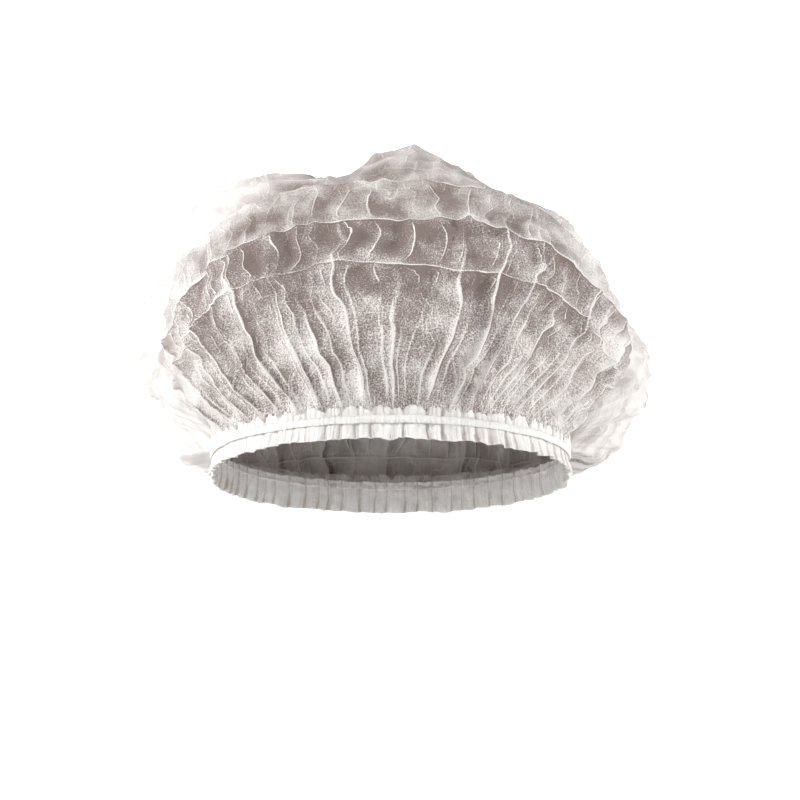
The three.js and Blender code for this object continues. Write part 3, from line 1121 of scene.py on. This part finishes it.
@dataclass
class Elastic(ClothPiece):
    """One elastic: a flat strip round half of the ring, puckering the cloth that covers it."""

    names = ("elastic_{}_strip", "elastic_{}", "elastic")
    segments: tuple[int, int] = (620, 8)
    width: float = 3.2
    out: float = 1.55
    thickness: float = 0.8 * MM
    puckers: int = 120
    finish: ClothFinish = ClothFinish(
        name="elastic strip",
        flat=(0.3, 0.0032),
        open_colour=(0.8, 0.775, 0.74, 1),
        fibre_colour=(0.97, 0.96, 0.935, 1),
        whiteness=0.6,
        fibres_per_metre=1200,
        crease_strength=0.5,
        roughness=0.6,
    )

    def place(self, across: Shares, along: Shares) -> Placed:
        """Every point of the strip, from its lower edge to its upper.

        Args:
            across: Shares of the half ring.
            along: Shares of the strip's width.

        Returns:
            Points in metres, and the values kept on them.
        """
        seed = 400 if self.lies_at is Edge.FRONT else 500
        pucker = np.abs(np.sin(math.pi * (across * self.puckers + 0.5 * drifting(across, 0 * along, (120, 1), seed))))
        bulge = 1 - (2 * along - 1) ** 2
        out = self.out + 0.45 * bulge + 0.3 * (pucker - 0.5) + 0.12 * drifting(across, along, (60, 2), seed + 1)
        height = (along - 0.5) * self.width * (0.92 + 0.12 * pucker)
        height += 0.25 * drifting(across, 0 * along, (30, 1), seed + 2)
        points = self.form.ring(across, out, height, self.lies_at)
        # Painted highlight: the strip paler on its puckers' crests and along its bulging middle
        return self.form.lean(points), {CREASE: 0.6 * pucker * bulge}


@dataclass
class WeldedTab(ClothPiece):
    """The tab at one ear: the pleats' ends, fanned out like leaves on both sides of the weld that pins them."""

    names = ("seal_{}_pleats", "seal_{}", "welded_cloth")
    segments: tuple[int, int] = (84, 72)
    half_width: float = 7.9
    round_height: float = 9.4
    bottom: float = -9
    leaves: int = 9
    fan: float = math.radians(50)
    waist: float = 7
    weld_height: float = -1
    bulge: float = 2
    leaf_depth: float = 0.9
    thickness: float = 0.5 * MM
    finish: ClothFinish = ClothFinish(
        name="welded pleats",
        flat=(0.016, 0.024),
        open_colour=(0.66, 0.62, 0.58, 1),
        fibre_colour=(0.98, 0.96, 0.94, 1),
        whiteness=0.75,
        crease_strength=0.5,
        roughness=0.7,
        # The leaves' edges, with a painted shadow beside each and painted shading across each leaf
        drawn=(("pleats", 0.12, -0.4),),
        drawn_strength=0.4,
        shade_strength=0.8,
    )

    def place(self, across: Shares, along: Shares) -> Placed:
        """Every point of the tab.

        Args:
            across: Shares of its width, from its front.
            along: Shares of its height.

        Returns:
            Points in metres, and the values kept on them.
        """
        start = self.form.frill_above
        height = self.bottom + (start + self.round_height - self.bottom) * along
        above = np.clip((height - start) / self.round_height, 0, 1)
        half = self.half_width * np.sqrt(np.maximum(1 - above**2, 0.002))
        forward = (2 * across - 1) * half
        turn = np.arctan2(forward, np.abs(height - self.weld_height) + self.waist)
        leaf = (turn / self.fan + 1) * self.leaves / 2
        leaf += 0.25 * drifting(across, along, (7, 5), 600 + self.lies_at.value)
        weld = np.exp(-(((height - self.weld_height) / 2) ** 2))
        rim = np.sqrt(np.maximum(1 - (forward / self.half_width) ** 2, 0))
        step = smooth(leaf - np.floor(leaf), 0, 0.85)
        out = 0.2 + (self.bulge * rim * np.sqrt(1 - above**2) + self.leaf_depth * (step - 0.4)) * (1 - 0.6 * weld)
        out += 0.25 * drifting(across, along, (16, 14), 610 + self.lies_at.value)
        points = np.stack([self.lies_at.value * (self.form.ring_half_width + out), forward, height], -1)
        dots = weld * (0.5 + 0.5 * np.cos(math.pi * forward) * np.cos(math.pi * (height - self.weld_height) / 1.2))
        pleated = {"pleats" + PLACE: leaf, "pleats" + POWER: 0.9 - 0.5 * weld}
        return self.form.lean(points), {CREASE: -0.5 * dots, **pleated}


@dataclass
class Studio:
    """The camera, the soft lights and the pale floor that sweeps up behind."""

    camera_place: tuple[float, float, float] = (0.0045, -1.395, 0.029)
    lens: float = 130
    floor_height: float = -0.17
    sweep_radius: float = 0.9
    sweep_back: float = 1.6
    sweep_half_width: float = 6
    sweep_steps: int = 24
    sweep_height: float = 4
    world_strength: float = 0.14
    seen_world_strength: float = 1.1
    paper_glow: float = 0.85
    floor_colour: Colour = (0.93, 0.93, 0.925, 1)

    def camera(self) -> None:
        """Puts the camera level with the cap's hem, looking along +Y."""
        data = bpy.data.cameras.new("camera")
        data.lens = self.lens
        data.clip_end = 50
        view = bpy.data.objects.new("camera", data)
        view.location = self.camera_place
        view.rotation_euler = (math.pi / 2, 0, 0)
        bpy.context.scene.collection.objects.link(view)
        bpy.context.scene.camera = view

    def light(self, name: str, place: tuple[float, float, float], size: float, watts: float) -> None:
        """Adds a soft square light that faces the cap.

        Args:
            name: The light's name.
            place: Where it stands, in metres.
            size: Its side, in metres.
            watts: Its power.
        """
        data = bpy.data.lights.new(name, "AREA")
        data.size = size
        data.energy = watts
        lamp = bpy.data.objects.new(name, data)
        lamp.location = place
        lamp.rotation_euler = (Vector((0, 0, 0.06)) - Vector(place)).to_track_quat("-Z", "Y").to_euler()
        bpy.context.scene.collection.objects.link(lamp)

    def sweep(self, across: Shares, along: Shares) -> Placed:
        """The strip of paper: flat under the cap, then round a curve and straight up behind it.

        Args:
            across: Shares of its width.
            along: Shares of its faces in a row, from the front.

        Returns:
            Points in metres, and no values.
        """
        turns = np.linspace(0, math.pi / 2, self.sweep_steps + 1)
        back = self.sweep_back + self.sweep_radius * np.sin(turns)
        up = self.floor_height + self.sweep_radius * (1 - np.cos(turns))
        row = np.round(along * (self.sweep_steps + 2)).astype(int)
        y = np.array([-self.sweep_half_width, *back, back[-1]])[row]
        z = np.array([self.floor_height, *up, up[-1] + self.sweep_height])[row]
        return np.stack([(2 * across - 1) * self.sweep_half_width, y, z], -1), {}

    def floor(self) -> None:
        """Makes the paper that the cap hangs over."""
        paper = cloth_mesh("floor", (1, self.sweep_steps + 2), self.sweep)
        material = bpy.data.materials.new("floor paper")
        material.use_nodes = True
        wires = Wiring(material.node_tree)
        where = wires.add("ShaderNodeTexCoord").outputs["Object"]
        grain = wires.add("ShaderNodeTexNoise", Vector=where, Scale=3.0).outputs["Fac"]
        paler = tuple(min(c * 1.03, 1) for c in self.floor_colour)
        seen = wires.add("ShaderNodeLightPath").outputs["Is Camera Ray"]
        wires.fill(material.node_tree.nodes["Principled BSDF"], {
            "Base Color": wires.mix(grain, self.floor_colour, paler),
            "Roughness": 0.95,
            "Specular IOR Level": 0.1,
            "Emission Color": (1, 1, 1, 1),
            "Emission Strength": wires.times(seen, self.paper_glow),
        })
        paper.data.materials.append(material)

    def build(self) -> None:
        """Sets up the whole studio."""
        self.camera()
        self.floor()
        self.light("left", (-1.7, -0.6, 0.9), 0.4, 34)
        self.light("right", (1.7, -0.35, 0.5), 0.6, 25)
        self.light("top", (-0.2, -0.3, 1.8), 0.5, 10)
        self.light("front", (-0.6, -1.9, 0.9), 1.0, 7)
        world = bpy.data.worlds.new("studio")
        world.use_nodes = True
        wires = Wiring(world.node_tree)
        seen = wires.add("ShaderNodeLightPath").outputs["Is Camera Ray"]
        strength = wires.spread(seen, 0, 1, self.world_strength, self.seen_world_strength)
        wires.fill(world.node_tree.nodes["Background"], {"Color": (1, 1, 1, 1), "Strength": strength})
        bpy.context.scene.world = world
        bpy.context.scene.view_settings.view_transform = "Standard"


def main() -> None:
    """Builds the studio and every sub-assembly in order."""
    logging.basicConfig(level=logging.INFO, format="%(name)s: %(message)s")
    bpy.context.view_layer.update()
    Studio().build()
    form = CapForm()
    parts = [Crown(form), *(kind(form, edge) for edge in Edge for kind in (Hem, Elastic))]
    for part in parts + [WeldedTab(form, side) for side in Side]:
        piece = part.build()
        log.info("%s: %d faces", piece.name, len(piece.data.polygons))


if __name__ == "__main__":
    main()
